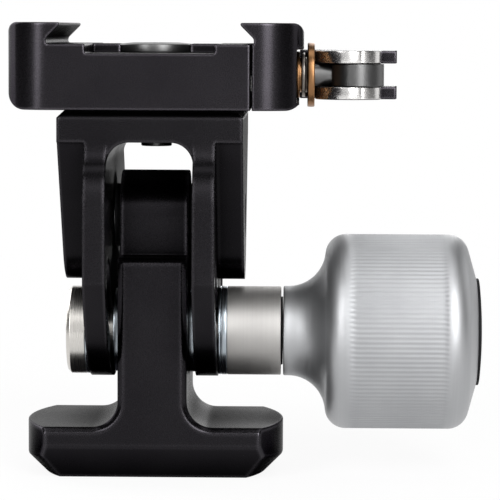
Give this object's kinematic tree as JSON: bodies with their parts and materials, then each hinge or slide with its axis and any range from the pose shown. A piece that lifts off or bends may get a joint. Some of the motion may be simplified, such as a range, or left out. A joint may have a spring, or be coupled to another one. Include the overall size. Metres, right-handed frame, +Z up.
{
  "type": "monopod head",
  "caption": "Single-axis tilting monopod head with a slotted yoke on a T-shaped base, a silver lock knob and a dovetail plate clamp closed by a cam lever.",
  "frame": {"origin": "centre of the foot's underside, on the axis of the threaded hole", "axes": "+X along the tilt axis towards the lock knob, +Y along the clamp's groove, away from the viewer, +Z up"},
  "size_m": [0.0911, 0.0605, 0.0878],
  "materials": {
    "black_anodised": "black satin anodised",
    "silver_anodised": "fine blasted, clear anodised",
    "sleeve_steel": "fine turned",
    "steel": "turned and polished",
    "washer_steel": "blued, ground",
    "dark_steel": "blackened",
    "lever_steel": "black handle with bare polished cam lobes",
    "bronze": "turned bronze",
    "black_plastic": "matte"
  },
  "bodies": {
    "base": {"base_column": "black_anodised", "thread_insert": "steel", "pivot_bush_left": "black_plastic", "pivot_bush_right": "black_plastic", "clamp_bolt": "steel", "cap_washer": "washer_steel", "friction_washer_left": "washer_steel", "friction_washer_right": "washer_steel", "thrust_ring": "steel", "thrust_washer": "washer_steel", "spacer_sleeve": "sleeve_steel", "slip_washer": "black_plastic", "stop_washer": "steel", "stop_screw": "steel"},
    "knob": {"lock_knob": "silver_anodised", "knob_insert": "bronze", "knob_end_cap": "black_plastic"},
    "head": {"yoke": "black_anodised", "pivot_pin": "steel", "pivot_screws": "dark_steel", "clamp_body": "black_anodised", "clamp_screw": "steel", "clamp_dowels": "steel", "guide_rods": "steel", "jaw_springs": "steel", "draw_stud": "dark_steel"},
    "jaw": {"moving_jaw": "black_anodised", "jaw_bush": "bronze", "seat_ring": "steel", "bronze_washer": "bronze"},
    "lever": {"cam_lever": "lever_steel", "cam_pin": "steel"}
  },
  "joints": [
    {"name": "head_tilt", "type": "hinge", "parent": "base", "child": "head", "pos_m": [0, 0, 0.0502], "axis": [1, 0, 0], "range_deg": [-60, 60]},
    {"name": "knob_turn", "type": "hinge", "parent": "base", "child": "knob", "pos_m": [0.045, 0, 0.0275], "axis": [1, 0, 0], "range_deg": [0, 270]},
    {"name": "lever_swing", "type": "hinge", "parent": "head", "child": "lever", "pos_m": [0.03896, 0, 0.0778], "axis": [0, 0, -1], "range_deg": [0, 120]},
    {"name": "jaw_slide", "type": "slide", "parent": "head", "child": "jaw", "axis": [1, 0, 0], "range_m": [0, 0.003], "deforming": ["jaw_springs"]}
  ],
  "couplings": [
    {"joint": "jaw_slide", "follows": "lever_swing", "m_per_rad": 0.001432}
  ]
}
